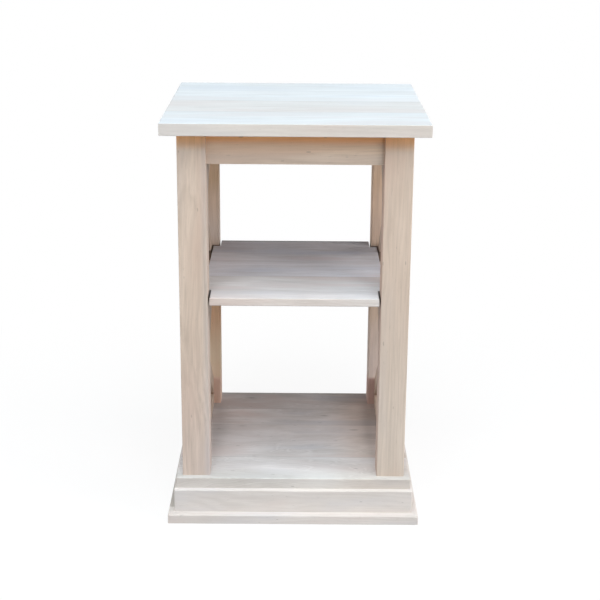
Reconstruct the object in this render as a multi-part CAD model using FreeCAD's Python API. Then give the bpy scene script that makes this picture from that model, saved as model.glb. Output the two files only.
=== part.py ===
import FreeCAD, Part

import math
import os

# End table with a middle shelf, standing on a stepped base.
# Millimetres. The origin is on the floor, under the middle of the table.
# +X is to the right, +Y to the rear and +Z up.

os.makedirs("parts", exist_ok=True)

# ---------------------------------------------------------------------------
# Driving dimensions
# ---------------------------------------------------------------------------

# Tabletop: edge-glued staves that run left to right
top_width = 406.0
top_depth = 410.0
top_thickness = 19.0
top_edge_radius = 1.2
top_stave_widths = (108.0, 106.0, 102.0)  # from the front, the last stave takes the rest

# Legs: square, standing on the lower panel
leg_side = 44.0
leg_spread_x = 358.0  # outer face to outer face
leg_spread_y = 358.0
leg_length = 560.0
leg_edge_radius = 1.5

# Aprons under the top, with a tenon at each end
apron_height = 48.0
apron_thickness = 18.0
apron_setback = 6.0  # behind the legs' outer faces
tenon_thickness = 8.0
tenon_length = 16.0
tenon_shoulder = 7.0  # above and below the tenon
tenon_clearance = 0.2

# Corner blocks between the aprons, which hold the top
corner_block_reach = 60.0  # along each apron, from the leg
corner_block_height = 30.0

# Side frames: two rails and two crosses a side, in the middle of the legs' width
brace_thickness = 19.0
brace_width = 25.0
brace_edge_radius = 1.0
lower_rail_height = 18.0
middle_rail_height = 22.0
middle_rail_drop = 14.8  # from the shelf's underside to the rail's top

# Shelf: edge-glued boards, notched round the legs
shelf_rise = 300.5  # shelf's upper face above the lower panel
shelf_thickness = 12.7
shelf_setback_front = 2.0  # behind the front faces of the legs
shelf_setback_rear = 8.0
shelf_leg_gap = 2.6
shelf_brace_gap = 2.5
shelf_edge_radius = 1.5
shelf_board_widths = (121.0, 94.0)  # from the front, the last board takes the rest

# Runners that carry the shelf, screwed to the middle rails
runner_thickness = 12.0
runner_height = 26.0
runner_end_gap = 1.0

# Lower panel: edge-glued boards
panel_thickness = 18.0
panel_margin_x = 10.5  # beyond the legs' outer faces
panel_margin_y = 10.0
panel_edge_radius = 2.0
panel_board_widths = (84.0, 138.0, 75.0)  # from the front, the last board takes the rest

# Skirt under the lower panel, mitred
skirt_height = 38.0
skirt_thickness = 18.0
skirt_step_x = 2.5  # beyond the lower panel
skirt_step_y = 8.5
skirt_edge_radius = 1.5

# Cleats inside the skirt
cleat_side = 18.0
cleat_length = 200.0

# Plinth moulding on the floor, mitred
plinth_height = 15.0
plinth_width = 50.0
plinth_step_x = 10.0  # beyond the skirt
plinth_step_y = 13.0
plinth_edge_radius = 2.0

# Wood screws: the shank's radius, the head's radius and the head's height
light_screw = (1.6, 3.2, 1.8)
wood_screw = (2.0, 4.2, 2.6)
leg_screw = (3.0, 5.5, 3.6)
screw_clearance = 0.1
screw_head_recess = 0.6  # a sunk head lies this far below the surface
top_screw_bite = 12.0  # into the top's underside
leg_screw_bite = 40.0
leg_screw_spacing = 18.0
cleat_screw_bite = 11.0
cleat_screw_spacing = 140.0
plinth_screw_bite = 24.0
plinth_screw_spacing = 220.0
runner_screw_bite = 13.0
runner_screw_spacing = 100.0
runner_screw_count = 3
shelf_screw_bite = 8.0
shelf_screw_spacing = 160.0

# Dowels that hold the rails and the arms to the legs
dowel_radius = 3.0
dowel_depth = 10.0  # into each piece
dowel_clearance = 0.1

# Lengths closer than this count as the same
same_length = 1e-6

# ---------------------------------------------------------------------------
# Levels and places worked out from them
# ---------------------------------------------------------------------------

skirt_top = plinth_height + skirt_height
panel_top = skirt_top + panel_thickness
leg_top = panel_top + leg_length
apron_bottom = leg_top - apron_height

leg_outer_x = leg_spread_x / 2
leg_outer_y = leg_spread_y / 2
leg_inner_x = leg_outer_x - leg_side
leg_inner_y = leg_outer_y - leg_side
leg_middle_x = leg_outer_x - leg_side / 2
leg_middle_y = leg_outer_y - leg_side / 2

apron_outer_x = leg_outer_x - apron_setback
apron_outer_y = leg_outer_y - apron_setback
apron_inner_x = apron_outer_x - apron_thickness
apron_inner_y = apron_outer_y - apron_thickness

brace_inner_x = leg_middle_x - brace_thickness / 2
brace_outer_x = leg_middle_x + brace_thickness / 2

shelf_top = panel_top + shelf_rise
shelf_bottom = shelf_top - shelf_thickness
shelf_wide_x = brace_inner_x - shelf_brace_gap
shelf_narrow_x = leg_inner_x - shelf_leg_gap
shelf_notch_y = leg_inner_y - shelf_leg_gap

middle_rail_top = shelf_bottom - middle_rail_drop
middle_rail_bottom = middle_rail_top - middle_rail_height
lower_rail_top = panel_top + lower_rail_height
crosses = {
    "lower": (lower_rail_top, middle_rail_bottom),
    "upper": (middle_rail_top, apron_bottom),
}

runner_inner_x = brace_inner_x - runner_thickness
runner_bottom = shelf_bottom - runner_height
runner_screw_z = (runner_bottom + middle_rail_top) / 2
shelf_screw_x = (runner_inner_x + shelf_wide_x) / 2

panel_half_x = leg_outer_x + panel_margin_x
panel_half_y = leg_outer_y + panel_margin_y
skirt_half_x = panel_half_x + skirt_step_x
skirt_half_y = panel_half_y + skirt_step_y
plinth_half_x = skirt_half_x + plinth_step_x
plinth_half_y = skirt_half_y + plinth_step_y

left_or_right = {"left": -1, "right": 1}
front_or_rear = {"front": -1, "rear": 1}

# ---------------------------------------------------------------------------
# Shapes
# ---------------------------------------------------------------------------


def vector(x, y, z):
    return FreeCAD.Vector(x, y, z)


def block(low, high):
    """A box between two opposite corners."""
    size = [b - a for a, b in zip(low, high)]
    return Part.makeBox(*size, vector(*low))


def prism(points, direction):
    """A flat outline, given as corner points, carried along a direction."""
    outline = Part.makePolygon([vector(*p) for p in points] + [vector(*points[0])])
    return Part.Face(outline).extrude(vector(*direction))


def rod(start, direction, length, radius):
    """A cylinder that starts at a point and runs along a unit direction."""
    return Part.makeCylinder(radius, length, vector(*start), vector(*direction))


def mirrored(shape, x=1, y=1):
    """The shape, or its mirror image where x or y is -1."""
    if x < 0:
        shape = shape.mirror(vector(0, 0, 0), vector(1, 0, 0))
    if y < 0:
        shape = shape.mirror(vector(0, 0, 0), vector(0, 1, 0))
    return shape


def eased(shape, radius, keep):
    """The shape with a round of this radius on each edge that keep() picks."""
    edges = [edge for edge in shape.Edges if keep(edge)]
    return shape.makeFillet(radius, edges)


def runs_along(edge, axis):
    """Whether an edge is straight and parallel to axis 0, 1 or 2."""
    ends = [v.Point for v in edge.Vertexes]
    step = ends[1] - ends[0]
    others = [abs(step[i]) for i in range(3) if i != axis]
    return max(others) < same_length


def lies_at_level(edge, z):
    """Whether an edge lies in the horizontal plane at z."""
    return all(abs(v.Z - z) < same_length for v in edge.Vertexes)


def cut_all(shape, tools):
    """The shape without every one of the tools."""
    for tool in tools:
        shape = shape.cut(tool)
    return shape


def save(node, solids):
    """Write one node. Several solids share a node as a group."""
    shape = solids[0] if len(solids) == 1 else Part.makeCompound(solids)
    shape.exportStep("parts/" + node + ".step")


def board_seams(front, rear, widths):
    """Where boards of these widths meet, from the front edge to the rear edge."""
    seams = [front]
    for width in widths:
        seams.append(seams[-1] + width)
    return seams + [rear]


def into_boards(slab, seams):
    """A slab sawn into boards that run left to right."""
    room = slab.BoundBox
    boards = []
    for front, rear in zip(seams, seams[1:]):
        # twice the slab's size, so that the board's sides aren't touched
        low = (2 * room.XMin, front, room.ZMin - room.ZLength)
        high = (2 * room.XMax, rear, room.ZMax + room.ZLength)
        boards.append(slab.common(block(low, high)).Solids[0])
    return boards


def mitred_frame(half_x, half_y, member, low, high, radius):
    """A rectangular frame in four members, mitred from the outer to the inner corners."""
    ring = block((-half_x, -half_y, low), (half_x, half_y, high))
    ring = eased(ring, radius, lambda e: runs_along(e, 2) or lies_at_level(e, high))
    inner_x = half_x - member
    inner_y = half_y - member
    ring = ring.cut(block((-inner_x, -inner_y, low), (inner_x, inner_y, high)))
    rise = (0, 0, high - low)
    front_corners = [
        (-half_x, -half_y, low),
        (half_x, -half_y, low),
        (inner_x, -inner_y, low),
        (-inner_x, -inner_y, low),
    ]
    left_corners = [
        (-half_x, -half_y, low),
        (-half_x, half_y, low),
        (-inner_x, inner_y, low),
        (-inner_x, -inner_y, low),
    ]
    front = ring.common(prism(front_corners, rise)).Solids[0]
    left = ring.common(prism(left_corners, rise)).Solids[0]
    return {
        "front": front,
        "rear": mirrored(front, y=-1),
        "left": left,
        "right": mirrored(left, x=-1),
    }


# ---------------------------------------------------------------------------
# Screws and dowels, and the holes that they sit in
# ---------------------------------------------------------------------------


def screw(seat, direction, length, kind):
    """A screw whose head bears on the seat point and whose shank runs along the direction."""
    shank_radius, head_radius, head_height = kind
    back = [s - d * head_height for s, d in zip(seat, direction)]
    shank = rod(seat, direction, length, shank_radius)
    head = rod(back, direction, head_height, head_radius)
    return shank.fuse(head).removeSplitter()


def screw_hole(seat, direction, length, kind):
    """The room for a screw's shank and for a head sunk below the surface."""
    shank_radius, head_radius, head_height = kind
    depth = head_height + screw_head_recess
    mouth = [s - d * depth for s, d in zip(seat, direction)]
    shank = rod(seat, direction, length + screw_clearance, shank_radius + screw_clearance)
    head = rod(mouth, direction, depth, head_radius + screw_clearance)
    return shank.fuse(head)


def sunk_seat(surface, kind):
    """Height of the seat of a head that is sunk upwards into a surface at this height."""
    return surface + kind[2] + screw_head_recess


def spaced(spacing, count):
    """Places with this spacing, balanced about zero."""
    return [spacing * (i - (count - 1) / 2) for i in range(count)]


UP = (0, 0, 1)


def top_screws():
    """Seat, direction and length of each screw through a corner block into the top."""
    # halfway from the leg's corner to the block's slanted face
    inset = (corner_block_reach - apron_inner_x + leg_inner_x) / 4
    seat_z = sunk_seat(leg_top - corner_block_height, wood_screw)
    length = leg_top + top_screw_bite - seat_z
    x = leg_inner_x - inset
    y = leg_inner_y - inset
    return [((i * x, j * y, seat_z), UP, length) for i in (-1, 1) for j in (-1, 1)]


def leg_screws():
    """Screws up through the lower panel, two into each leg."""
    seat_z = sunk_seat(skirt_top, leg_screw)
    length = panel_top + leg_screw_bite - seat_z
    return [
        ((i * leg_middle_x + step, j * leg_middle_y, seat_z), UP, length)
        for i in (-1, 1)
        for j in (-1, 1)
        for step in spaced(leg_screw_spacing, 2)
    ]


def cleat_screws():
    """Screws up through the skirt cleats into the lower panel."""
    seat_z = sunk_seat(skirt_top - cleat_side, wood_screw)
    length = skirt_top + cleat_screw_bite - seat_z
    x = skirt_half_x - skirt_thickness - cleat_side / 2
    y = skirt_half_y - skirt_thickness - cleat_side / 2
    steps = spaced(cleat_screw_spacing, 2)
    sides = [(i * x, step) for i in (-1, 1) for step in steps]
    ends = [(step, j * y) for j in (-1, 1) for step in steps]
    return [((px, py, seat_z), UP, length) for px, py in sides + ends]


def plinth_screws():
    """Screws up through the plinth into the skirt."""
    seat_z = sunk_seat(0, wood_screw)
    length = plinth_height + plinth_screw_bite - seat_z
    x = skirt_half_x - skirt_thickness / 2
    y = skirt_half_y - skirt_thickness / 2
    steps = spaced(plinth_screw_spacing, 2)
    sides = [(i * x, step) for i in (-1, 1) for step in steps]
    ends = [(step, j * y) for j in (-1, 1) for step in steps]
    return [((px, py, seat_z), UP, length) for px, py in sides + ends]


def runner_screws():
    """Level screws from each runner into its middle rail."""
    sink = light_screw[2] + screw_head_recess
    length = runner_thickness - sink + runner_screw_bite
    x = runner_inner_x + sink
    places = spaced(runner_screw_spacing, runner_screw_count)
    return [((i * x, y, runner_screw_z), (i, 0, 0), length) for i in (-1, 1) for y in places]


def shelf_screws():
    """Screws up through the runners into the shelf."""
    seat_z = sunk_seat(runner_bottom, light_screw)
    length = shelf_bottom + shelf_screw_bite - seat_z
    places = spaced(shelf_screw_spacing, 2)
    return [((i * shelf_screw_x, y, seat_z), UP, length) for i in (-1, 1) for y in places]


def solids_of(places, kind):
    return [screw(seat, direction, length, kind) for seat, direction, length in places]


def holes_of(places, kind):
    return [screw_hole(seat, direction, length, kind) for seat, direction, length in places]


def dowel_places(heights):
    """Middles of the dowels in the legs' inner faces at these heights."""
    return [
        (i * leg_middle_x, j * leg_inner_y, z) for i in (-1, 1) for j in (-1, 1) for z in heights
    ]


def dowel(middle, spare=0.0):
    """A dowel that lies front to back, or with spare room the hole for it."""
    x, y, z = middle
    half = dowel_depth + spare
    return rod((x, y - half, z), (0, 1, 0), 2 * half, dowel_radius + spare)


def rail_dowel_heights():
    return [
        panel_top + lower_rail_height / 2,
        middle_rail_bottom + middle_rail_height / 2,
    ]


def brace_dowel_heights():
    """Middles of the arms' ends: two on each leg for each cross."""
    heights = []
    for low, high in crosses.values():
        end = arm_end_height(high - low)
        heights += [low + end / 2, high - end / 2]
    return heights


# ---------------------------------------------------------------------------
# The table's pieces
# ---------------------------------------------------------------------------


def tabletop_staves():
    """The top, rounded along its upper and lower edges and sawn into staves."""
    x = top_width / 2
    y = top_depth / 2
    high = leg_top + top_thickness
    slab = block((-x, -y, leg_top), (x, y, high))
    slab = eased(slab, top_edge_radius, lambda e: True)
    slab = cut_all(slab, holes_of(top_screws(), wood_screw))
    return into_boards(slab, board_seams(-y, y, top_stave_widths))


def tenon(low, high, spare):
    """A tenon between two corners, or with spare room the mortise for it."""
    return block([a - spare for a in low], [b + spare for b in high])


def front_tenon(spare=0.0):
    """Tenon of the front apron in the right-hand front leg."""
    y = -(apron_outer_y + apron_inner_y) / 2
    half = tenon_thickness / 2
    low = (leg_inner_x, y - half, apron_bottom + tenon_shoulder)
    high = (leg_inner_x + tenon_length, y + half, leg_top - tenon_shoulder)
    return tenon(low, high, spare)


def side_tenon(spare=0.0):
    """Tenon of the right-hand apron in the right-hand front leg."""
    x = (apron_outer_x + apron_inner_x) / 2
    half = tenon_thickness / 2
    low = (x - half, -leg_inner_y - tenon_length, apron_bottom + tenon_shoulder)
    high = (x + half, -leg_inner_y, leg_top - tenon_shoulder)
    return tenon(low, high, spare)


def legs():
    """Four legs with their mortises, dowel holes and screw holes."""
    leg = block((leg_inner_x, -leg_outer_y, panel_top), (leg_outer_x, -leg_inner_y, leg_top))
    leg = eased(leg, leg_edge_radius, lambda e: runs_along(e, 2))
    leg = cut_all(leg, [front_tenon(tenon_clearance), side_tenon(tenon_clearance)])
    leg = cut_all(leg, holes_of(leg_screws(), leg_screw))
    heights = rail_dowel_heights() + brace_dowel_heights()
    leg = cut_all(leg, [dowel(place, dowel_clearance) for place in dowel_places(heights)])
    found = {}
    for end, j in front_or_rear.items():
        for side, i in left_or_right.items():
            found["leg_" + end + "_" + side] = mirrored(leg, x=i, y=-j)
    return found


def aprons():
    """Front, rear, left and right aprons with their tenons."""
    front = block((-leg_inner_x, -apron_outer_y, apron_bottom), (leg_inner_x, -apron_inner_y, leg_top))
    front = front.fuse([front_tenon(), mirrored(front_tenon(), x=-1)]).removeSplitter()
    right = block((apron_inner_x, -leg_inner_y, apron_bottom), (apron_outer_x, leg_inner_y, leg_top))
    right = right.fuse([side_tenon(), mirrored(side_tenon(), y=-1)]).removeSplitter()
    return {
        "apron_front": front,
        "apron_rear": mirrored(front, y=-1),
        "apron_right": right,
        "apron_left": mirrored(right, x=-1),
    }


def corner_blocks():
    """Blocks cut to the legs' corners, with a slanted inner face."""
    low = leg_top - corner_block_height
    outline = [
        (leg_inner_x - corner_block_reach, -apron_inner_y, low),
        (leg_inner_x, -apron_inner_y, low),
        (leg_inner_x, -leg_inner_y, low),
        (apron_inner_x, -leg_inner_y, low),
        (apron_inner_x, -leg_inner_y + corner_block_reach, low),
    ]
    piece = prism(outline, (0, 0, corner_block_height))
    piece = cut_all(piece, holes_of(top_screws(), wood_screw))
    found = {}
    for end, j in front_or_rear.items():
        for side, i in left_or_right.items():
            found["corner_block_" + end + "_" + side] = mirrored(piece, x=i, y=-j)
    return found


def side_rails():
    """Lower and middle rails between the legs of each side."""
    levels = {
        "lower": (panel_top, lower_rail_top),
        "middle": (middle_rail_bottom, middle_rail_top),
    }
    holes = [dowel(place, dowel_clearance) for place in dowel_places(rail_dowel_heights())]
    holes += holes_of(runner_screws(), light_screw)
    found = {}
    for level, (low, high) in levels.items():
        rail = block((brace_inner_x, -leg_inner_y, low), (brace_outer_x, leg_inner_y, high))
        rail = eased(rail, brace_edge_radius, lambda e: runs_along(e, 1))
        rail = cut_all(rail, holes)
        for side, i in left_or_right.items():
            found["side_rail_" + level + "_" + side] = mirrored(rail, x=i)
    return found


def arm_angle(height):
    """Slope of an arm that fills a bay of this height from corner to corner.

    The arm's lower edge meets one corner and its upper edge the opposite one, so
    height * cos(angle) - span * sin(angle) is the arm's width."""
    span = 2 * leg_inner_y
    diagonal = math.hypot(height, span)
    return math.acos(brace_width / diagonal) - math.atan2(span, height)


def arm_end_height(height):
    """Height of an arm's upright end, where it meets a leg."""
    return brace_width / math.cos(arm_angle(height))


def arm_prism(low, high, direction, inner_x, outer_x):
    """An arm that falls (direction 1) or rises (direction -1) towards the rear."""
    end = arm_end_height(high - low)
    y = direction * leg_inner_y
    outline = [
        (inner_x, -y, high - end),
        (inner_x, -y, high),
        (inner_x, y, low + end),
        (inner_x, y, low),
    ]
    return prism(outline, (outer_x - inner_x, 0, 0))


def is_long_arm_edge(edge):
    """Whether an edge runs along the arm, neither upright nor across it."""
    return not runs_along(edge, 2) and not runs_along(edge, 0)


def brace_arms():
    """Two crosses a side. The arms are half-lapped where they cross."""
    holes = [dowel(place, dowel_clearance) for place in dowel_places(brace_dowel_heights())]
    found = {}
    for level, (low, high) in crosses.items():
        arms = {}
        for name, direction in (("falling", 1), ("rising", -1)):
            arm = arm_prism(low, high, direction, brace_inner_x, brace_outer_x)
            arms[name] = eased(arm, brace_edge_radius, is_long_arm_edge)
        outer_half = arm_prism(low, high, -1, leg_middle_x, brace_outer_x)
        inner_half = arm_prism(low, high, 1, brace_inner_x, leg_middle_x)
        arms["falling"] = arms["falling"].cut(outer_half)
        arms["rising"] = arms["rising"].cut(inner_half)
        for name, arm in arms.items():
            arm = cut_all(arm, holes)
            for side, i in left_or_right.items():
                node = "brace_" + level + "_" + side + "_" + name
                found[node] = mirrored(arm.Solids[0], x=i)
    return found


def shelf_boards():
    """The shelf: wide between the legs, narrow where it passes them."""
    front = -leg_outer_y + shelf_setback_front
    rear = leg_outer_y - shelf_setback_rear
    right_side = [
        (shelf_narrow_x, front),
        (shelf_narrow_x, -shelf_notch_y),
        (shelf_wide_x, -shelf_notch_y),
        (shelf_wide_x, shelf_notch_y),
        (shelf_narrow_x, shelf_notch_y),
        (shelf_narrow_x, rear),
    ]
    left_side = [(-x, y) for x, y in reversed(right_side)]
    outline = [(x, y, shelf_bottom) for x, y in right_side + left_side]
    slab = prism(outline, (0, 0, shelf_thickness))
    slab = eased(slab, shelf_edge_radius, lambda e: not runs_along(e, 2))
    slab = cut_all(slab, holes_of(shelf_screws(), light_screw))
    return into_boards(slab, board_seams(front, rear, shelf_board_widths))


def shelf_runners():
    """The runners under the shelf's sides."""
    end = leg_inner_y - runner_end_gap
    runner = block((runner_inner_x, -end, runner_bottom), (brace_inner_x, end, shelf_bottom))
    runner = cut_all(runner, holes_of(shelf_screws(), light_screw))
    runner = cut_all(runner, holes_of(runner_screws(), light_screw))
    return {"shelf_runner_" + side: mirrored(runner, x=i) for side, i in left_or_right.items()}


def panel_boards():
    """The lower panel, rounded along its upper edges and sawn into boards."""
    slab = block((-panel_half_x, -panel_half_y, skirt_top), (panel_half_x, panel_half_y, panel_top))
    slab = eased(slab, panel_edge_radius, lambda e: runs_along(e, 2) or lies_at_level(e, panel_top))
    slab = cut_all(slab, holes_of(leg_screws(), leg_screw))
    slab = cut_all(slab, holes_of(cleat_screws(), wood_screw))
    return into_boards(slab, board_seams(-panel_half_y, panel_half_y, panel_board_widths))


def skirt_boards():
    """The skirt under the lower panel."""
    boards = mitred_frame(
        skirt_half_x, skirt_half_y, skirt_thickness, plinth_height, skirt_top, skirt_edge_radius
    )
    holes = holes_of(plinth_screws(), wood_screw)
    return {"skirt_" + place: cut_all(board, holes) for place, board in boards.items()}


def skirt_cleats():
    """Square cleats in the middle of each skirt board, under the lower panel."""
    inner_x = skirt_half_x - skirt_thickness
    inner_y = skirt_half_y - skirt_thickness
    low = skirt_top - cleat_side
    half = cleat_length / 2
    front = block((-half, -inner_y, low), (half, -inner_y + cleat_side, skirt_top))
    right = block((inner_x - cleat_side, -half, low), (inner_x, half, skirt_top))
    holes = holes_of(cleat_screws(), wood_screw)
    front = cut_all(front, holes)
    right = cut_all(right, holes)
    return {
        "skirt_cleat_front": front,
        "skirt_cleat_rear": mirrored(front, y=-1),
        "skirt_cleat_right": right,
        "skirt_cleat_left": mirrored(right, x=-1),
    }


def plinth_mouldings():
    """The moulding on the floor."""
    boards = mitred_frame(
        plinth_half_x, plinth_half_y, plinth_width, 0, plinth_height, plinth_edge_radius
    )
    holes = holes_of(plinth_screws(), wood_screw)
    return {"plinth_" + place: cut_all(board, holes) for place, board in boards.items()}


# ---------------------------------------------------------------------------
# Every node of the table
# ---------------------------------------------------------------------------

for number, board in enumerate(tabletop_staves(), 1):
    save("tabletop_stave_%d" % number, [board])

for number, board in enumerate(shelf_boards(), 1):
    save("shelf_board_%d" % number, [board])

for number, board in enumerate(panel_boards(), 1):
    save("lower_panel_board_%d" % number, [board])

for make in (
    legs,
    aprons,
    corner_blocks,
    side_rails,
    brace_arms,
    shelf_runners,
    skirt_boards,
    skirt_cleats,
    plinth_mouldings,
):
    for node, piece in make().items():
        save(node, [piece])

save("top_screws", solids_of(top_screws(), wood_screw))
save("leg_screws", solids_of(leg_screws(), leg_screw))
save("cleat_screws", solids_of(cleat_screws(), wood_screw))
save("plinth_screws", solids_of(plinth_screws(), wood_screw))
save("runner_screws", solids_of(runner_screws(), light_screw))
save("shelf_screws", solids_of(shelf_screws(), light_screw))
save("rail_dowels", [dowel(place) for place in dowel_places(rail_dowel_heights())])
save("brace_dowels", [dowel(place) for place in dowel_places(brace_dowel_heights())])
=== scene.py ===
# %% [markdown]
# # An end table in raw hardwood
#
# The table is built from boards that were sanded and left without stain or
# varnish: a square top on four legs, a shelf in the middle, crossed braces at
# the sides, and a stepped base. The construction model already has every board
# in its place. This lesson gives the boards their wood, makes the screws that
# hold them, and sets up a floor, soft light and a camera.
#
# We load the construction model as a fixed frame. Its boards are never moved.

# %% Load the frame
import math

import bpy
import numpy as np
from mathutils import Matrix, Vector


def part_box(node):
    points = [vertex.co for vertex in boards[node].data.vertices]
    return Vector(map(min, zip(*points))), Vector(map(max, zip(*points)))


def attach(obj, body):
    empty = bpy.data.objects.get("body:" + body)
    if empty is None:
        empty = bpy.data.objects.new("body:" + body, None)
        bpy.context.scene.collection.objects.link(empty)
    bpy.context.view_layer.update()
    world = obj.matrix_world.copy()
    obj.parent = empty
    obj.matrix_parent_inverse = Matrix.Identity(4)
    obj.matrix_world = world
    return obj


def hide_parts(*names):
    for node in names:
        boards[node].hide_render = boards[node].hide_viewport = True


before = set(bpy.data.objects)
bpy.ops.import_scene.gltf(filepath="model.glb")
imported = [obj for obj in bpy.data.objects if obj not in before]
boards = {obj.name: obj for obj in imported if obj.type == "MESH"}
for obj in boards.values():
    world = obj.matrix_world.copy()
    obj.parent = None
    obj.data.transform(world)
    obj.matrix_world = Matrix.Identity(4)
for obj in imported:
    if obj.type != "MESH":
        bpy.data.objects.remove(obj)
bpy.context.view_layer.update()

# %% [markdown]
# ## Formulas that build nodes
#
# A wood finish is a formula: rings, streaks and pores, each worked out from the
# place in the board. Blender keeps such a formula as a tree of nodes. The tree
# could be wired by hand, node by node, but then the formula is hard to read. So
# we wrap a socket in a small class whose operators add the nodes for us.

# %% A socket that can be used in a formula


def linear(r, g, b):
    """A colour given in display values from 0 to 255, as the linear values that a shader needs.

    Display values up to 0.04045 are divided by 12.92, and the rest follow a power of 2.4."""
    shares = [value / 255 for value in (r, g, b)]
    return [s / 12.92 if s <= 0.04045 else ((s + 0.055) / 1.055) ** 2.4 for s in shares]


class Wire:
    """An output socket. Arithmetic on it adds Math or Vector Math nodes."""

    def __init__(self, tree, socket=None):
        self.tree = tree
        self.socket = socket

    def node(self, kind, settings=None, sockets=None, out=0):
        """Add any node: its settings first, then the values or links of its sockets."""
        made = self.tree.nodes.new("ShaderNode" + kind)
        for name, value in (settings or {}).items():
            setattr(made, name, value)
        for key, value in (sockets or {}).items():
            if isinstance(value, Wire):
                self.tree.links.new(value.socket, made.inputs[key])
            else:
                made.inputs[key].default_value = value
        return Wire(self.tree, made.outputs[out] if made.outputs else None)

    def worked_out(self, operation, first, second=0.0):
        """Vector Math if a vector or a colour takes part, and Math if all are numbers."""
        wires = [w for w in (first, second) if isinstance(w, Wire)]
        vectors = any(w.socket.type in ("VECTOR", "RGBA") for w in wires)
        kind = "VectorMath" if vectors else "Math"
        return self.node(kind, {"operation": operation}, {0: first, 1: second})

    def __add__(self, other):
        return self.worked_out("ADD", self, other)

    def __radd__(self, other):
        return self.worked_out("ADD", other, self)

    def __sub__(self, other):
        return self.worked_out("SUBTRACT", self, other)

    def __rsub__(self, other):
        return self.worked_out("SUBTRACT", other, self)

    def __mul__(self, other):
        return self.worked_out("MULTIPLY", self, other)

    def __rmul__(self, other):
        return self.worked_out("MULTIPLY", other, self)

    def __pow__(self, other):
        return self.worked_out("POWER", self, other)

    def sine(self):
        return self.node("Math", {"operation": "SINE"}, {0: self})

    def also(self, out):
        """Another output of the same node."""
        return Wire(self.tree, self.socket.node.outputs[out])

    def part(self, name):
        """The X, Y or Z number of a vector."""
        return self.node("SeparateXYZ", sockets={0: self}, out=name)

    def between(self, low, high):
        """A smooth step: 0 below low, 1 above high, and 3t*t - 2t*t*t from one to the other."""
        found = {"Value": self, "From Min": low, "From Max": high}
        return self.node("MapRange", {"interpolation_type": "SMOOTHSTEP"}, found)

    def noise(self, detail=2.0, roughness=0.5, lift=0.0, out="Fac"):
        """Noise of scale 1 at this place, so that the place itself carries the scale."""
        values = {"Vector": self, "W": lift, "Scale": 1.0, "Detail": detail, "Roughness": roughness}
        return self.node("TexNoise", {"noise_dimensions": "4D"}, values, out)

    def blend(self, first, second):
        """The first colour where this is 0 and the second where it is 1."""
        return self.node("Mix", {"data_type": "RGBA"}, {0: self, 6: first, 7: second}, 2)


print("a mid grey of 188 is", [round(v, 3) for v in linear(188, 188, 188)], "in linear values")

# %% [markdown]
# ## The wood
#
# A real board is cut from a log, so its figure is a slice through rings round
# the log's heart. A picture of wood could be laid on each face, but then the
# end grain would not agree with the faces. So the pattern fills space: each
# board's own place is turned until its grain lies along X, and moved to some
# place in a log. These things are worked out there:
#
# - knots: small dark branches that run through the board, and push the grain
#   lines aside,
# - rings: a sine of the distance from the heart, bent by slow noise,
# - streaks: noise that is long along the grain and narrow across it,
# - clouds and drifts: large soft patches, where the colour moves to pink or grey,
# - pores, flecks and specks: dark dashes, from hair-thin to a few millimetres long.
#
# Boards come from different logs, so each one draws its own place and tilt.

# %% Wood that fills space
draws = np.random.default_rng(1887)
most_tilt = 0.035  # radians
ring_width = 0.0042
slow_cells = (3.0, 13.0, 13.0)  # cells in a metre, along the grain and across it
speck_cells = (30.0, 110.0, 110.0)
knot_cells = (5.5, 13.0)
# in knot cells: a knot's least radius, what chance adds, its soft edge, its halo and how far it pushes
knot_least, knot_spread, knot_edge, knot_halo, knot_reach = 0.006, 0.030, (-0.030, 0.012), 0.15, 0.36
knot_push = 0.85
# how far the patterns move the colour from pale to deep
streak_reach, fine_reach, cloud_reach = 1.5, 1.6, 2.6
# how dark the marks are, from 0 to 1, the last one being painted shade in the slot round the shelf, and their
# brown as a share of the deep colour
core_dark, halo_dark, pore_dark, speck_dark, end_grain_dark, slot_shade_dark = 0.20, 0.24, 0.20, 0.40, 0.22, 0.90
brown_share = 0.40
# the soft edge of the painted shade in the slot round the shelf
slot_shade_edge = 0.0008


def place_in_log(node, along):
    """The turn and shift from the table's frame to a log's, whose grain runs along X.

    The rows of the turn are the grain's direction and two directions across it. A
    small random tilt makes the rings run out in arches."""
    low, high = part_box(node)
    grain = Vector(along).normalized()
    size = high - low
    # of the two other axes, the board is thinnest along the last one
    order = sorted(range(3), key=lambda i: (-abs(grain[i]), -size[i]))
    across = Vector([float(i == order[1]) for i in range(3)])
    across = (across - across.dot(grain) * grain).normalized()
    turn = Matrix((grain, across, grain.cross(across)))
    tilt_a, tilt_b = draws.uniform(-most_tilt, most_tilt, 2)
    turn = Matrix.Rotation(tilt_a, 3, "Y") @ Matrix.Rotation(tilt_b, 3, "Z") @ turn
    heart = Vector((draws.uniform(-3, 3), draws.uniform(-0.05, 0.05), draws.uniform(0.03, 0.10)))
    return turn.to_euler(), heart - turn @ ((low + high) / 2)


def knots_in(log, share):
    """How dark a knot is here, and how far the grain is pushed aside.

    The board's face is shared out among scattered points, and this share of them
    carry a knot. A point's own random numbers say whether, and how wide it is."""
    spread = log * (*knot_cells, 0.0)
    distance = spread.node("TexVoronoi", {"voronoi_dimensions": "2D"}, {"Vector": spread, "Scale": 1.0})
    chance, width = distance.also("Color").part("X"), distance.also("Color").part("Y")
    held = chance.between(1 - share, 1.001 - share)
    core = (width * knot_spread + knot_least - distance).between(*knot_edge)
    halo = 1.0 - distance.between(0.0, knot_halo)
    dark = (core * core_dark + halo * halo * halo_dark) * held
    aside = (distance.also("Position") - spread) * (0.0, 1 / knot_cells[1], 0.0)
    return dark, aside * ((1.0 - distance.between(0.0, knot_reach)) * held * knot_push)


def grained(place, along, across, detail, roughness, lift):
    """Noise with this many cells in a metre along the grain and across it.

    Each pattern has its own lift, so that no two of them are alike."""
    return (place * (along, across, across)).noise(detail, roughness, lift)


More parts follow.
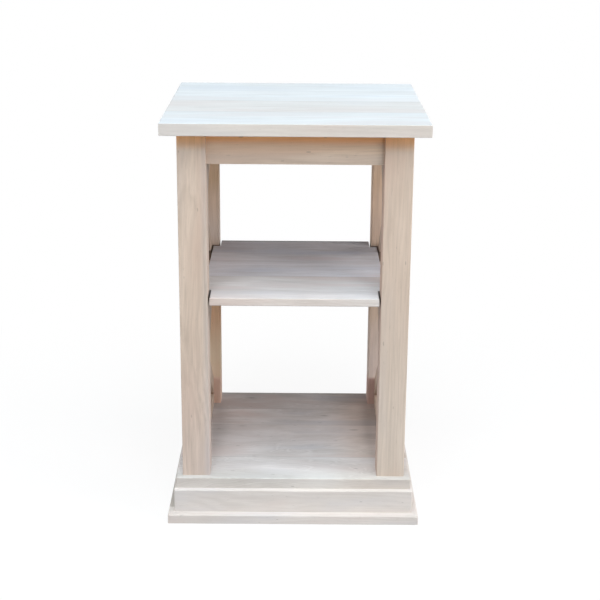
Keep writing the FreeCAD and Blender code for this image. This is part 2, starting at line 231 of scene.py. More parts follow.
def raw_wood(name, grain, turn, shift, tones, look, lines=(), fades=(), slot=None):
    """Bare sanded wood.

    The colour goes from pale to deep with a sum of rings, streaks and clouds, then
    drifts to pink and to grey. A fade, which mostly paints light or shade, multiplies
    it: it has an axis, the places where it starts and is full, its factors, and the
    faces that it is for. Pores, flecks, specks, knots and the end grain are darker,
    and so are lines, each with its Y place, half width and strength. In a slot, given
    by its lowest and highest place, shade is painted."""
    material = bpy.data.materials.new(name)
    material.use_nodes = True
    tree = material.node_tree
    tree.nodes.clear()
    start = Wire(tree)
    pale, deep, pink, grey = (tone + [1.0] for tone in tones)
    place = start.node("TexCoord", out="Object")
    log = start.node("Mapping", sockets={"Vector": place, "Rotation": turn, "Location": shift})

    knot, aside = knots_in(log, look["knots"])
    bend = (log * slow_cells).noise(3.0, out="Color") - (0.5, 0.5, 0.5)
    bent = log + bend * (0.0, look["waves"], look["waves"]) + aside
    from_heart = (bent.part("Y") ** 2 + bent.part("Z") ** 2) ** 0.5
    ring = (from_heart * (2 * math.pi / ring_width)).sine() * 0.5 + 0.5

    along, across = look["patches"]
    streak = grained(bent, 2.6, 85.0, 3.0, 0.6, 1.0)
    fine = grained(bent, 14.0, 420.0, 2.0, 0.6, 2.0)
    cloud = grained(bent, along, across, 4.0, 0.6, 3.0)
    drift = grained(bent, 0.6 * along, 0.6 * across, 3.0, 0.5, 4.0)
    pore = grained(log, 95.0, 1150.0, 1.0, 0.5, 5.0).between(0.60, 0.74)
    fleck = grained(bent, 60.0, 330.0, 2.0, 0.6, 6.0).between(0.62, 0.74)

    dots = log * speck_cells
    nearest = dots.node("TexVoronoi", sockets={"Vector": dots, "Scale": 1.0})
    speck = (nearest.also("Color").part("X") * look["specks"] - nearest).between(0.0, 0.05)

    # noise lies about 0.5, and a ring to the power of 1.6 about 0.4
    depth = (
        (ring**1.6 - 0.4) * look["rings"]
        - ring**8.0 * look["lines"]
        + (streak - 0.5) * (streak_reach * look["streaks"])
        + (fine - 0.5) * (fine_reach * look["fine"])
        + (cloud - 0.5) * (cloud_reach * look["clouds"])
        + 0.5
    )
    colour = depth.between(-0.25, 1.25).blend(pale, deep)
    colour = (drift.between(0.50, 0.66) * look["drift"]).blend(colour, pink)
    colour = (drift.between(0.49, 0.34) * look["drift"]).blend(colour, grey)

    normal = start.node("NewGeometry", out="Normal")
    turned_to = {
        "front": normal.part("Y").between(-0.3, -0.8),
        "top": normal.part("Z").between(0.3, 0.8),
        "left": normal.part("X").between(-0.3, -0.8),
    }
    for axis, begins, full, change, faces in fades:
        share = place.part(axis).between(begins, full)
        if faces in turned_to:
            share = share * turned_to[faces]
        colour = share.blend(colour, colour * change)
    if "edge" in look:
        upward = normal.part("Z")
        colour = (upward * upward).between(0.6, 0.2).blend(colour, colour * look["edge"])

    along_grain = start.node("VectorMath", {"operation": "DOT_PRODUCT"}, {0: normal, 1: grain}, "Value")
    end_grain = (along_grain * along_grain).between(0.5, 0.9)
    darker = pore * pore_dark + fleck * look["flecks"] + speck * speck_dark + knot + end_grain * end_grain_dark
    for y, half, strength in lines:
        offset = place.part("Y") - y
        darker = darker + (half**2 - offset * offset).between(-(half**2), 0.0) * strength
    # painted shade in the narrow slot round the shelf, on the legs, the upper braces and the shelf's notches
    if slot:
        sunk = 1.0
        for axis, low, high in zip("XYZ", *slot):
            spot = place.part(axis)
            spot = (spot * spot) ** 0.5 if axis != "Z" else spot
            over = spot.between(low - slot_shade_edge, low + slot_shade_edge)
            under = spot.between(high + slot_shade_edge, high - slot_shade_edge)
            sunk = over * under * sunk
        darker = darker + sunk * slot_shade_dark
    brown = [brown_share * value for value in deep[:3]] + [1.0]
    colour = darker.between(-0.01, 1.0).blend(colour, brown)

    rough = 0.68 + fine * 0.12 + pore * 0.15
    height = ring * 0.25 + fine * 0.5 - pore * 0.9
    relief = start.node("Bump", sockets={"Height": height, "Strength": 0.35, "Distance": 0.00025})
    values = {"Base Color": colour, "Roughness": rough, "Normal": relief}
    values |= {"IOR": 1.45, "Specular IOR Level": 0.12}
    start.node("OutputMaterial", sockets={"Surface": start.node("BsdfPrincipled", sockets=values)})
    return material


print("a ring is", 1000 * ring_width, "mm wide, and a pore is about 0.4 mm wide and 5 mm long")

# %% [markdown]
# ## Which wood each board gets
#
# The boards are the same kind of wood, but no two are alike. One table says
# which wood a board gets, how light it is and how lively its figure is, and
# chance does the rest. The top was cut from the palest boards. The legs are a
# peach tan, and the aprons are a little deeper. The shelf and the lower panel are
# greyer, with a livelier figure, and the skirt and plinth are a clean cream.
# A look says how strong each pattern is. Its "edge" gives factors for the sides
# of a board, which see less light than its top.

# %% Woods of the boards
along_x, along_y, along_z = (1, 0, 0), (0, 1, 0), (0, 0, 1)
woods = {
    "frost": (203, 208, 211),
    "chalk": (203, 204, 204),
    "peach": (207, 190, 175),
    "amber": (203, 186, 171),
    "mauve": (209, 209, 216),
    "linen": (209, 207, 208),
    "ash": (197, 193, 193),
    "cream": (213, 208, 204),
}
plain = dict(rings=0.15, lines=0.0, streaks=0.40, fine=0.50, clouds=0.45, drift=0.7, waves=0.020)
plain |= dict(flecks=0.12, specks=0.10, knots=0.08, patches=(4.5, 26.0))
straight = dict(plain, rings=0.12, fine=0.95, waves=0.018, flecks=0.22, specks=0.16, knots=0.06)
lively = dict(plain, rings=0.30, lines=0.50, streaks=0.25, fine=0.30, clouds=1.0, waves=0.085)
lively |= dict(specks=0.16, knots=0.45, patches=(8.0, 30.0), edge=(1.06, 1.005, 0.978))
top_look = dict(plain, streaks=0.22, fine=0.30, clouds=0.50, drift=0.5, knots=0.05)
top_look |= dict(edge=(1.13, 1.0, 0.90))
shelf_look = dict(plain, lines=0.30, streaks=0.7, clouds=1.0, drift=1.0, waves=0.045)
shelf_look |= dict(specks=0.04, knots=0.0, edge=(1.02, 0.95, 0.88))
knotty = dict(plain, streaks=0.25, fine=0.28, waves=0.045, flecks=0.25, specks=0.11, knots=0.30)
knotty |= dict(patches=(7.0, 30.0), edge=(1.05, 1.045, 1.045))

# start of the node's name: wood, lightness, look
board_plan = {
    "tabletop_stave_1": ("frost", 0.985, top_look),
    "tabletop_stave_2": ("chalk", 0.985, top_look),
    "tabletop_stave": ("frost", 1.00, top_look),
    "leg_front_left": ("peach", 1.00, dict(straight, rings=0.28, waves=0.030)),
    "leg_front_right": ("peach", 0.985, dict(straight, streaks=0.28, fine=0.70)),
    "leg_rear_left": ("peach", 1.03, straight),
    "leg_rear_right": ("peach", 1.04, straight),
    "apron": ("amber", 1.00, dict(plain, flecks=0.3, specks=0.16, streaks=1.2, fine=1.0)),
    "shelf_board_1": ("linen", 1.00, shelf_look),
    "shelf_board": ("mauve", 1.01, shelf_look),
    "shelf_runner": ("peach", 0.98, straight),
    "lower_panel_board_1": ("ash", 0.995, dict(lively, clouds=0.8, drift=0.35)),
    "lower_panel_board_2": ("ash", 1.02, dict(lively, clouds=1.1, drift=0.6)),
    "lower_panel_board_4": ("ash", 0.98, dict(lively, clouds=1.4, drift=1.0)),
    "lower_panel": ("ash", 1.00, dict(lively, clouds=1.4, drift=1.0)),
    "skirt_cleat": ("amber", 0.97, straight),
    "skirt": ("cream", 1.00, knotty),
    "plinth": ("cream", 0.98, dict(knotty, edge=(1.10, 1.09, 1.09))),
    "corner_block": ("amber", 0.98, plain),
    "side_rail": ("peach", 0.98, straight),
    "brace": ("peach", 0.98, straight),
}
pale_share, brightest = 1.075, 250
other_shares = (0.925, 0.915, 0.905), (1.00, 0.965, 0.955), (0.975, 0.985, 1.005)


def grain_of(node):
    """The grain runs along the board: up the legs, along the arms, and else along its longest side."""
    low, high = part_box(node)
    size = high - low
    if node.startswith("brace_"):
        return 0, size.y, -size.z if node.endswith("falling") else size.z
    if node.startswith("leg_"):
        return along_z
    across = node.startswith(("tabletop", "shelf_board", "lower_panel")) or size.x > size.y
    return along_x if across else along_y


def tones_of(wood, lightness):
    """The four colours of a board: pale, deep, and the pink and the grey to which it drifts."""
    own = [value * lightness for value in woods[wood]]
    pale = [min(brightest, value * pale_share) for value in own]
    tones = [linear(*(min(brightest, v * k) for v, k in zip(own, shares))) for shares in other_shares]
    return [linear(*pale), *tones]


print(len(woods), "woods and", len(board_plan), "kinds of board")

# %% [markdown]
# ## Painted light and shade
#
# Light and shade that the lamps don't give are painted into the colour of the
# wood. They could be painted on each face by hand. But most of them are fades
# along an axis, which multiply the colour and keep the figure, so that a few
# numbers in a table are enough:
#
# - close under the top, where little light falls, the legs and aprons get painted amber shade,
# - the rear legs get painted amber shade just under the apron and the shelf, and painted light between,
# - the front half of the lower panel gets painted light, and painted warm shade by the right legs,
# - the rear of the shelf and the left ledge of the plinth get painted shade,
# - the lower edge of the top's front gets a painted highlight, and the apron's right end and the legs' inner
#   edges painted light and shade.
#
# Two marks are thin and dark: the glue line between two boards, and painted
# shade in the narrow slot round the shelf.

# %% Fades of painted light and shade
top_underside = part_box("leg_front_left")[1].z
leg_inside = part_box("leg_rear_right")[0]
# painted light and shade under the top: amber shade, deeper on the front apron, and a warm pale band of painted
# light below it
painted_shade_amber, painted_faint_shade_amber = (241, 184, 133), (206, 180, 156)
painted_deep_shade_amber, painted_warm_light = (238, 177, 125), (234, 209, 185)
# how far under the top a fade starts, and how far under it the fade is full
leg_shade_reach, leg_light_reach, apron_light_reach, apron_shade_reach = (0.030, 0.004), (0.055, 0.015), (0.038, 0.022), (0.022, 0.008)

# start of the node's name: fades, each with an axis, a start, a full place, factors and faces
fades_of = {
    # painted highlight on the lower edge of the top's front
    "tabletop": [("Z", top_underside + 0.0022, top_underside + 0.0008, (1.10, 1.10, 1.10), "front")],
    # painted shade at the shelf's rear under the top, painted light at its right end and painted shade at its
    # left end
    "shelf_board": [
        ("Y", 0.06, 0.16, (0.86, 0.86, 0.87), "all"),
        ("X", 0.02, 0.12, (1.06, 1.09, 1.11), "all"),
        ("X", -0.04, -0.12, (0.96, 0.94, 0.93), "all"),
    ],
    # painted light on the front half of the lower panel, where more light falls; it is darker at its very front
    # edge
    "lower_panel": [
        ("Y", -0.02, -0.12, (1.16, 1.19, 1.19), "all"),
        ("Y", -0.145, -0.182, (0.885, 0.915, 0.90), "all"),
    ],
    # painted shadow on the left ledge of the plinth, behind the front of the legs
    "plinth_left": [("Y", -0.183, -0.178, (0.70, 0.70, 0.68), "top")],
    # painted shadow of the right leg on the front apron's right end
    "apron_front": [("X", leg_inside.x - 0.006, leg_inside.x - 0.001, (0.72, 0.68, 0.66), "front")],
    # painted cool light on the left leg's inner edge, and painted light from below, cooler towards the floor
    "leg_front_left": [
        ("X", -leg_inside.x - 0.012, -leg_inside.x - 0.002, (0.945, 0.985, 1.045), "all"),
        ("Z", 0.35, 0.10, (1.00, 1.01, 1.06), "all"),
    ],
    # painted light from below, lighter and cooler towards the floor, and painted shade on the right leg's inner
    # face
    "leg_front_right": [
        ("Z", 0.45, 0.10, (1.03, 1.08, 1.12), "all"),
        ("Z", top_underside + 0.001, top_underside, (0.82, 0.75, 0.76), "left"),
    ],
}
# painted light and shade on the panel: factors near the right legs, for warm shade, and near the left legs, and
# where these fades lie
panel_side_light_and_shade = {
    "lower_panel_board_1": ((0.98, 0.94, 0.91), (0.97, 0.965, 0.96)),
    "lower_panel_board_2": ((0.93, 0.86, 0.81), (0.95, 0.94, 0.94)),
    "lower_panel_board_3": ((0.92, 0.84, 0.78), (1.15, 1.14, 1.14)),
    "lower_panel_board_4": ((0.92, 0.84, 0.78), (1.00, 1.00, 1.00)),
}
panel_reaches = (0.045, 0.12), (-0.03, -0.11)
# painted light and shade on a rear leg: factors at heights, from the highest down
rear_leg_light_and_shade = {
    "leg_rear_left": (
        (0.600, (1.00, 1.00, 1.00)),
        (0.497, (0.90, 0.80, 0.66)),
        (0.455, (1.04, 1.00, 0.96)),
        (0.390, (1.04, 1.10, 1.19)),
        (0.340, (0.95, 0.77, 0.61)),
        (0.250, (0.95, 0.77, 0.61)),
        (0.160, (1.13, 1.16, 1.06)),
        (0.126, (1.15, 1.17, 1.10)),
        (0.118, (1.20, 1.14, 1.17)),
    ),
    "leg_rear_right": (
        (0.600, (1.00, 1.00, 1.00)),
        (0.497, (1.06, 0.97, 0.86)),
        (0.450, (1.13, 1.06, 1.00)),
        (0.400, (1.05, 1.02, 1.01)),
        (0.340, (0.97, 0.95, 0.91)),
        (0.250, (0.98, 0.96, 0.93)),
        (0.205, (1.06, 1.10, 1.18)),
        (0.150, (1.11, 1.18, 1.30)),
        (0.126, (1.12, 1.20, 1.33)),
        (0.118, (0.94, 0.82, 0.88)),
    ),
}


def factors(wanted, written):
    """The linear factors that turn one display colour into another."""
    return [w / v for w, v in zip(linear(*wanted), linear(*written))]


def under_top(reach, change, faces):
    """A fade that goes up the board and is full close under the table's top."""
    return "Z", top_underside - reach[0], top_underside - reach[1], change, faces


def downwards(tones):
    """Fades that give a board these factors at these heights, one after the other."""
    fades = []
    for (begins, above), (full, below) in zip(tones, tones[1:]):
        fades.append(("Z", begins, full, [b / a for a, b in zip(above, below)], "all"))
    return fades


def fades_on(node, wood):
    """The fades on a board: an axis, where it starts and is full, its factors and its faces."""
    own = woods[wood]
    fades = [fade for start, listed in fades_of.items() if node.startswith(start) for fade in listed]
    for reach, change in zip(panel_reaches, panel_side_light_and_shade.get(node, ())):
        fades.append(("X", *reach, change, "all"))
    # painted amber shade and painted warm light close under the table's top
    if node == "apron_front":
        fades.append(under_top(apron_light_reach, factors(painted_warm_light, own), "front"))
        fades.append(under_top(apron_shade_reach, factors(painted_deep_shade_amber, painted_warm_light), "front"))
    elif node.startswith(("apron", "leg")):
        fades.append(under_top(leg_shade_reach, factors(painted_faint_shade_amber, own), "all"))
    if node.startswith("leg_front"):
        fades.append(under_top(leg_shade_reach, factors(painted_shade_amber, painted_faint_shade_amber), "front"))
        fades.append(under_top(leg_light_reach, (1.08, 1.08, 1.08), "front"))
    return fades + downwards(rear_leg_light_and_shade.get(node, ()))


print(sum(len(listed) for listed in fades_of.values()), "fades are listed by board")

# %% Glue lines, painted shade in the slot, and every board's material
glue_half, glue_strength = 0.0005, 0.40
rear_edge_inset, rear_edge_half = 0.0045, 0.0027
rear_edge_strengths = {"shelf_board_": 0.50, "lower_panel_board_": 0.15}
same_place = 1e-5
shelf_low, shelf_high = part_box("shelf_board_1")
brace_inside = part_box("brace_upper_right_rising")[0]
# the gap round the shelf, how far the painted slot shade reaches past the shelf, and a place beyond every board
shelf_leg_gap, slot_shade_depth, beyond = 0.0026, 0.001, 1.0


def lines_on(node):
    """Dark lines at a place in Y: where a board is glued to the next one, and on a shaded rear edge.

    Each has its Y place, its half width and its strength."""
    group = node.rstrip("0123456789")
    if node == group:
        return []
    low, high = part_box(node)
    neighbours = [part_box(n) for n in boards if n.startswith(group) and n != node]
    sides = [corner.y for box in neighbours for corner in box]
    glued = [y for y in (low.y, high.y) if any(abs(y - side) < same_place for side in sides)]
    lines = [(y, glue_half, glue_strength) for y in glued]
    if group in rear_edge_strengths and high.y not in glued:
        lines.append((high.y - rear_edge_inset, rear_edge_half, rear_edge_strengths[group]))
    return lines


def shaded_slot(node):
    """Lowest and highest |x|, |y| and z of the wood that faces the narrow slot round the shelf, where shade is
    painted.
    """
    lowest_z, highest_z = shelf_low.z - slot_shade_depth, shelf_high.z + slot_shade_depth
    seen_x = brace_inside.x + 5 * slot_shade_depth
    if node.startswith("leg"):
        return (0.0, 0.0, lowest_z), (seen_x, -shelf_low.y - slot_shade_depth, highest_z)
    if node.startswith("brace_upper"):
        return (0.0, 0.0, 0.0), (seen_x, beyond, highest_z)
    if node.startswith("shelf_board"):
        notch_x, notch_y = leg_inside.x - shelf_leg_gap, leg_inside.y - shelf_leg_gap
        return (notch_x, notch_y - 0.5 * slot_shade_depth, 0.0), (beyond, beyond, beyond)
    return None


def wear(node, material):
    """Give a construction board its material."""
    for slot in boards[node].material_slots:
        slot.material = material


screws_and_dowels = [n for n in boards if n.endswith(("_screws", "_dowels"))]
for node in sorted(set(boards) - set(screws_and_dowels)):
    wood, lightness, look = board_plan[next(s for s in board_plan if node.startswith(s))]
    tones = tones_of(wood, lightness * draws.uniform(0.99, 1.01))
    grain = grain_of(node)
    turn, shift = place_in_log(node, grain)
    marks = lines_on(node), fades_on(node, wood), shaded_slot(node)
    wear(node, raw_wood(node, grain, turn, shift, tones, look, *marks))
print(len(boards) - len(screws_and_dowels), "boards have their own wood")

# %% [markdown]
# ## Screws and dowels
#
# The boards are held by zinc-plated wood screws, whose heads show in their sunk
# holes under the table, and by fluted beech dowels inside the legs. A screw
# could be joined from cylinders and a spiral, but its parts would cut through
# each other. So we make it as one surface round an axis: a grid with one
# direction along the screw and the other round it, where the radius and the
# height are formulas. A thread is then only a ridge that climbs with the angle.

# %% A surface round an axis
columns = 24
around = np.arange(columns) * 2 * math.pi / columns


def turned(radius, height):
    """Vertices and faces of a closed surface round the Z axis.

    Row i and column j lie at radius[i, j] and height[i, j], at the column's angle. The
    first and the last row become single points on the axis, so that the ends are closed."""
    x = radius * np.cos(around)
    y = radius * np.sin(around)
    ring = np.stack([x, y, height + 0 * radius], axis=-1)[1:-1]
    rows = len(ring)
    ends = [[0, 0, float(np.mean(height[0]))], [0, 0, float(np.mean(height[-1]))]]
    points = np.vstack([ring.reshape(-1, 3), ends])
    i, j = np.meshgrid(np.arange(rows - 1), np.arange(columns), indexing="ij")
    k = (j + 1) % columns
    quads = np.stack([i * columns + j, i * columns + k, (i + 1) * columns + k, (i + 1) * columns + j])
    step = np.arange(columns)
    after = (step + 1) % columns
    first = np.stack([np.full(columns, rows * columns), after, step])
    last_row = (rows - 1) * columns
    last = np.stack([np.full(columns, rows * columns + 1), last_row + step, last_row + after])
    return points, quads.reshape(4, -1).T.tolist() + first.T.tolist() + last.T.tolist()


def new_piece(name, shape, places, node, material):
    """One object with a copy of the shape at each place, which stands for a node.

    A place is a point and the direction in which the shape's own Z axis runs."""
    points, faces = shape
    all_points, all_faces = [], []
    for number, (point, direction) in enumerate(places):
        turn = np.array(Vector(direction).to_track_quat("Z", "Y").to_matrix())
        all_points.append(points @ turn.T + np.array(point))
        all_faces += [[v + number * len(points) for v in face] for face in faces]
    mesh = bpy.data.meshes.new(name)
    mesh.from_pydata(np.vstack(all_points).tolist(), [], all_faces)
    mesh.polygons.foreach_set("use_smooth", np.ones(len(all_faces), bool))
    mesh.set_sharp_from_angle(angle=math.radians(40))
    mesh.materials.append(material)
    mesh.update()
    piece = bpy.data.objects.new(name, mesh)
    bpy.context.scene.collection.objects.link(piece)
    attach(piece, "root")
    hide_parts(node)
    print(name, len(places), "pieces,", len(all_faces), "faces")
    return piece


# %% [markdown]
# ### The screw
#
# From the middle of the head outwards the rows follow a low dome, in which a
# cross is sunk, then the rim, the flat seat and the shank. The thread's ridge is
# a triangle wave of (height / pitch - angle / full turn). It fades in under the
# head, and the shank ends in a point.

# %% Screw
rows_in_pitch = 5


def wood_screw(shank, head, head_height, length, pitch):
    """A screw whose seat is at height 0, with its head below and its point above.

    The dome's height is head_height * (0.62 + 0.38 * the root of (1 - 0.96 * r * r)),
    for r from 0 in the middle to 1 at the head's rim. A cross is sunk in it to half
    the head's height: its arms are half as long as the radius, and a tenth of the
    radius wide to each side, with sloping walls. The shank's radius is 0.7 to 1 of
    shank, and the ridge is the upper part of the triangle wave."""
    share = np.linspace(0, 1, 9)[:, None]
    r = share * head
    dome = -head_height * (0.62 + 0.38 * np.sqrt(1 - 0.96 * share**2)) + 0 * around
    x, y = np.abs(r * np.cos(around)), np.abs(r * np.sin(around))
    wall = 0.05 * head
    in_width = np.clip((0.15 * head - np.minimum(x, y)) / wall, 0, 1)
    in_length = np.clip((0.58 * head - np.maximum(x, y)) / wall, 0, 1)
    dome = dome + in_width * in_length * 0.5 * head_height
    # the rim's lower edge, and the outer and inner edge of the seat
    seat_r = np.array([head, 0.97 * head, 1.02 * shank])[:, None]
    seat_h = np.array([-0.15 * head_height, 0, 0])[:, None]
    rows = int(rows_in_pitch * length / pitch)
    h = np.linspace(0, length, rows + 1)[1:, None]
    wave = np.abs(((h / pitch - around / (2 * math.pi)) % 1) - 0.5) * 2
    ridge = np.clip(1.6 * wave - 0.6, 0, 1) * np.clip(h / pitch - 1, 0, 1)
    point = np.clip((length - h) / (2.2 * shank), 0, 1)
    shaft = point * shank * (0.70 + 0.30 * ridge)
    radius = np.vstack([r + 0 * around, seat_r + 0 * around, shaft])
    height = np.vstack([dome, seat_h + 0 * around, h + 0 * around])
    return turned(radius, height)


zinc_cells = 900.0
light_zinc, dark_zinc = (196, 198, 200), (168, 169, 168)


def bright_zinc(name):
    """Zinc-plated steel: a cool grey metal with soft cloudy roughness."""
    material = bpy.data.materials.new(name)
    material.use_nodes = True
    tree = material.node_tree
    tree.nodes.clear()
    start = Wire(tree)
    place = start.node("TexCoord", out="Object")
    cloud = (place * (zinc_cells, zinc_cells, zinc_cells)).noise(3.0)
    colour = cloud.blend(linear(*light_zinc) + [1.0], linear(*dark_zinc) + [1.0])
    values = {"Base Color": colour, "Metallic": 1.0, "Roughness": 0.24 + cloud * 0.2}
    start.node("OutputMaterial", sockets={"Surface": start.node("BsdfPrincipled", sockets=values)})
    return material


# %% Places of the screws
zinc = bright_zinc("bright_zinc")
# radius of the shank, radius of the head and height of the head, in millimetres
light, common, strong = (1.6, 3.2, 1.8), (2.0, 4.2, 2.6), (3.0, 5.5, 3.6)
light, common, strong = ([v / 1000 for v in kind] for kind in (light, common, strong))
pitch_in_shanks = 1.2
leg_pair, cleat_pair, plinth_pair, shelf_pair = 0.018, 0.140, 0.220, 0.160
runner_step, head_sink = 0.100, 0.0006


def four(x, y):
    """The four mirror images of a point."""
    return [(i * x, j * y) for i in (-1, 1) for j in (-1, 1)]


def round_the_frame(pair):
    """Two screws in each side of a square frame, this far apart."""
    return lambda x, y: four(x, pair / 2) + four(pair / 2, y)


def upright_screws(name, node, kind, spots):
    """Screws that point up. spots gives their places from the outermost x and y."""
    low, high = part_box(node)
    shank, head, head_height = kind
    x, y = high.x - head, high.y - head
    seat = low.z + head_height
    shape = wood_screw(shank, head, head_height, high.z - seat, pitch_in_shanks * shank)
    places = [((px, py, seat), along_z) for px, py in spots(x, y)]
    new_piece(name, shape, places, node, zinc)


def level_screws(name, node, kind):
    """Screws that point outwards, three to a side, through the shelf's runners."""
    low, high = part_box(node)
    shank, head, head_height = kind
    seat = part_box("shelf_runner_right")[0].x + head_sink + head_height
    z = (low.z + high.z) / 2
    shape = wood_screw(shank, head, head_height, high.x - seat, pitch_in_shanks * shank)
    places = [((i * seat, k * runner_step, z), (i, 0, 0)) for i in (-1, 1) for k in (-1, 0, 1)]
    new_piece(name, shape, places, node, zinc)


upright_screws("screws_into_top", "top_screws", common, four)
upright_screws("screws_into_legs", "leg_screws", strong, lambda x, y: four(x, y) + four(x - leg_pair, y))
upright_screws("screws_into_panel", "cleat_screws", common, round_the_frame(cleat_pair))
upright_screws("screws_into_skirt", "plinth_screws", common, round_the_frame(plinth_pair))
upright_screws("screws_into_shelf", "shelf_screws", light, lambda x, y: four(x, shelf_pair / 2))
level_screws("screws_into_rails", "runner_screws", light)

# %% [markdown]
# ### The dowels
#
# A dowel is a pin with fine flutes along it, which let the glue spread, and with
# its two ends rounded off. The radius is the pin's own, less a small cosine of
# twelve times the angle, and it shrinks at the ends.

# %% Dowels
flutes, flute_depth = 12, 0.03  # the depth is a share of the radius
beech = [linear(*c) for c in ((214, 190, 156), (190, 160, 122), (205, 176, 144), (196, 176, 150))]
front_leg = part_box("leg_front_right")
leg_middle_x, leg_rear_y = (front_leg[0].x + front_leg[1].x) / 2, front_leg[1].y


def fluted_pin(radius, half):
    """A pin from -half to half along Z, with rounded ends.

    Its radius is radius * (1 - flute_depth * (1 + the cosine of flutes * angle))."""
    h = half * np.array([-1, -1, -0.97, -0.9, 0, 0.9, 0.97, 1, 1])[:, None]
    r = radius * np.array([0, 0.8, 0.93, 1, 1, 1, 0.93, 0.8, 0])[:, None]
    fluted = 1 - flute_depth * (1 + np.cos(flutes * around))
    return turned(r * fluted, h + 0 * around)


def pin_radius(node):
    """A dowel's radius: half the width of all dowels, less the middle of the legs."""
    low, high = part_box(node)
    return (high.x - low.x) / 2 - leg_middle_x


def all_pins(name, node, heights):
    """Dowels that lie front to back, through the legs' inner faces at these heights."""
    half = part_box(node)[1].y + leg_rear_y
    turn, shift = place_in_log(node, along_y)
    wood = raw_wood(node, along_y, turn, shift, beech, straight)
    middles = four(leg_middle_x, leg_rear_y)
    places = [((x, y, z), along_y) for x, y in middles for z in heights]
    new_piece(name, fluted_pin(pin_radius(node), half), places, node, wood)


lower_rail, middle_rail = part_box("side_rail_lower_left"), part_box("side_rail_middle_left")
all_pins("pins_of_rails", "rail_dowels", [(rail[0].z + rail[1].z) / 2 for rail in (lower_rail, middle_rail)])
lowest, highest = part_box("brace_dowels")
pin = pin_radius("brace_dowels")
over_rail = lowest.z + pin - lower_rail[1].z
under_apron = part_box("apron_left")[0].z - highest.z + pin
brace_heights = [lowest.z + pin, middle_rail[0].z - over_rail, middle_rail[1].z + under_apron, highest.z - pin]
all_pins("pins_of_braces", "brace_dowels", brace_heights)

# %% [markdown]
# ## Floor and background
#
# The table stands on a wide pale floor in front of a white background. The
# floor keeps a faint trace of the table's soft shadow. Further out it turns into
# plain white, so that no horizon shows.

# %% Floor and white background


def looked_at(wire):
    """1 for the rays with which the camera, a gloss or a glass looks at a surface, and 0 for light."""
    rays = wire.node("LightPath", out="Is Camera Ray")
    return (rays + rays.also("Is Glossy Ray") + rays.also("Is Transmission Ray")).between(0.0, 0.5)


floor_half, floor_level = 6.0, -0.0003
floor_greys, lit_grey = (240, 244), 180
near_white, white_from, white_at = 0.86, 0.35, 1.0
room_light = 0.08
pure_white = (1, 1, 1, 1)
corners = [(i * floor_half, j * floor_half, floor_level) for i, j in ((-1, -1), (1, -1), (1, 1), (-1, 1))]
floor_mesh = bpy.data.meshes.new("floor")
floor_mesh.from_pydata(corners, [], [(0, 1, 2, 3)])
floor = bpy.data.objects.new("floor", floor_mesh)
bpy.context.scene.collection.objects.link(floor)

paper = bpy.data.materials.new("pale_floor")
paper.use_nodes = True
paper.node_tree.nodes.clear()
ground = Wire(paper.node_tree)
spot = ground.node("TexCoord", out="Object")
distance = ground.node("VectorMath", {"operation": "LENGTH"}, {0: spot}, "Value")
grit = (spot * (60.0, 60.0, 60.0)).noise(3.0)
light_grey, lighter_grey, for_light = (linear(g, g, g) + [1.0] for g in (*floor_greys, lit_grey))
seen = looked_at(ground)
lit = ground.node("BsdfDiffuse", sockets={"Color": seen.blend(for_light, grit.blend(light_grey, lighter_grey))})
white = ground.node("Emission", sockets={"Color": pure_white, "Strength": 1.0})
bright = near_white + distance.between(white_from, white_at) * (1 - near_white)
mixed = ground.node("MixShader", sockets={0: bright * seen, 1: lit, 2: white})
ground.node("OutputMaterial", sockets={"Surface": mixed})
floor_mesh.materials.append(paper)

world = bpy.data.worlds.new("soft_room")
bpy.context.scene.world = world
world.use_nodes = True
world.node_tree.nodes.clear()
sky = Wire(world.node_tree)
strength = room_light + looked_at(sky) * (1 - room_light)
room = sky.node("Background", sockets={"Color": pure_white, "Strength": strength})
sky.node("OutputWorld", sockets={"Surface": room})
print("the floor is", 2 * floor_half, "m wide")

# %% [markdown]
# ## Light
#
# A large soft box stands in front of the table, high up, and a second one hangs
# over it. Both are a little cool. Two warmer ones light the sides, the right one
# stronger than the left, and two weak ones low behind light the back. They are
# large, so that shadows have soft edges, and their strength is set so that a
# colour comes out about as it was written.

# %% Soft boxes


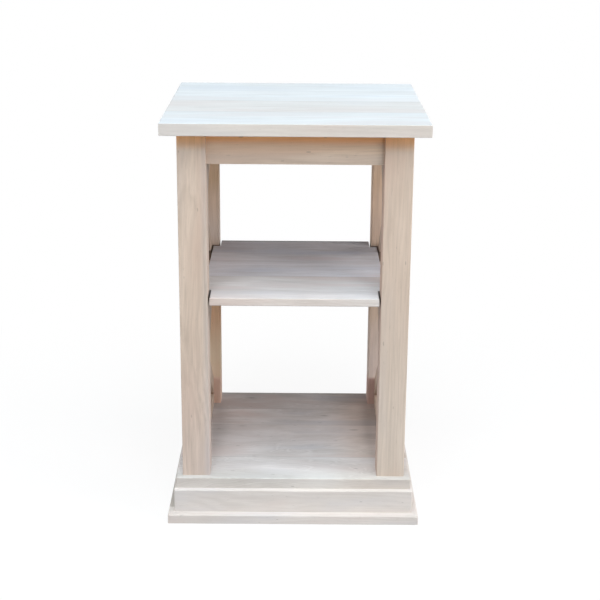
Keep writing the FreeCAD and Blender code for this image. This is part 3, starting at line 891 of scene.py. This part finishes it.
def soft_box(name, place, target, size, power, tint):
    """A square area lamp that faces a target."""
    lamp = bpy.data.lights.new(name, "AREA")
    lamp.shape = "SQUARE"
    lamp.size = size
    lamp.energy = power
    lamp.color = tint
    box = bpy.data.objects.new(name, lamp)
    box.location = place
    box.visible_camera = False
    box.rotation_euler = (Vector(target) - Vector(place)).to_track_quat("-Z", "Y").to_euler()
    bpy.context.scene.collection.objects.link(box)
    return box


middle = (0.0, 0.0, 0.35)
warm, cool, neutral = (1.07, 0.99, 0.94), (0.92, 1.01, 1.07), (1.0, 1.0, 1.0)
soft_box("box_in_front", (0.0, -2.2, 3.2), middle, 2.0, 77.0, cool)
soft_box("box_above", (0.1, -0.5, 3.4), middle, 2.4, 56.0, cool)
soft_box("side_right", (3.0, -1.2, 1.6), middle, 2.0, 73.0, warm)
soft_box("side_left", (-3.0, -1.2, 1.6), middle, 2.0, 44.0, warm)
soft_box("back_right", (2.4, 3.2, 0.9), middle, 1.6, 15.0, neutral)
soft_box("back_left", (-2.4, 3.2, 0.9), middle, 1.6, 15.0, neutral)

# %% [markdown]
# ## Camera
#
# The camera stands about two metres in front of the table and a third of a
# metre above its top, and looks down at the table's middle.

# %% Camera
pitch, yaw, roll = (math.radians(a) for a in (17.522, 0.130, 0.444))
camera_place = (0.0042, -2.1857, 1.0036)
sensor, focal_in_widths = 36.0, 1352.3 / 600
ahead = Vector((math.sin(yaw) * math.cos(pitch), math.cos(yaw) * math.cos(pitch), -math.sin(pitch)))
level = Vector((math.cos(yaw), -math.sin(yaw), 0))
down = ahead.cross(level)
to_right = math.cos(roll) * level - math.sin(roll) * down
to_top = -(math.sin(roll) * level + math.cos(roll) * down)
lens_data = bpy.data.cameras.new("camera")
lens_data.sensor_width = sensor
lens_data.lens = sensor * focal_in_widths
camera = bpy.data.objects.new("camera", lens_data)
aim = Matrix((to_right, to_top, -ahead)).transposed().to_4x4()
camera.matrix_world = Matrix.Translation(camera_place) @ aim
bpy.context.scene.collection.objects.link(camera)
bpy.context.scene.camera = camera
bpy.context.scene.view_settings.view_transform = "Standard"
print("lens", round(lens_data.lens, 1), "mm")

# %% [markdown]
# ## Finish
#
# We bring the scene up to date and close the lesson.

# %% The end
bpy.context.view_layer.update()
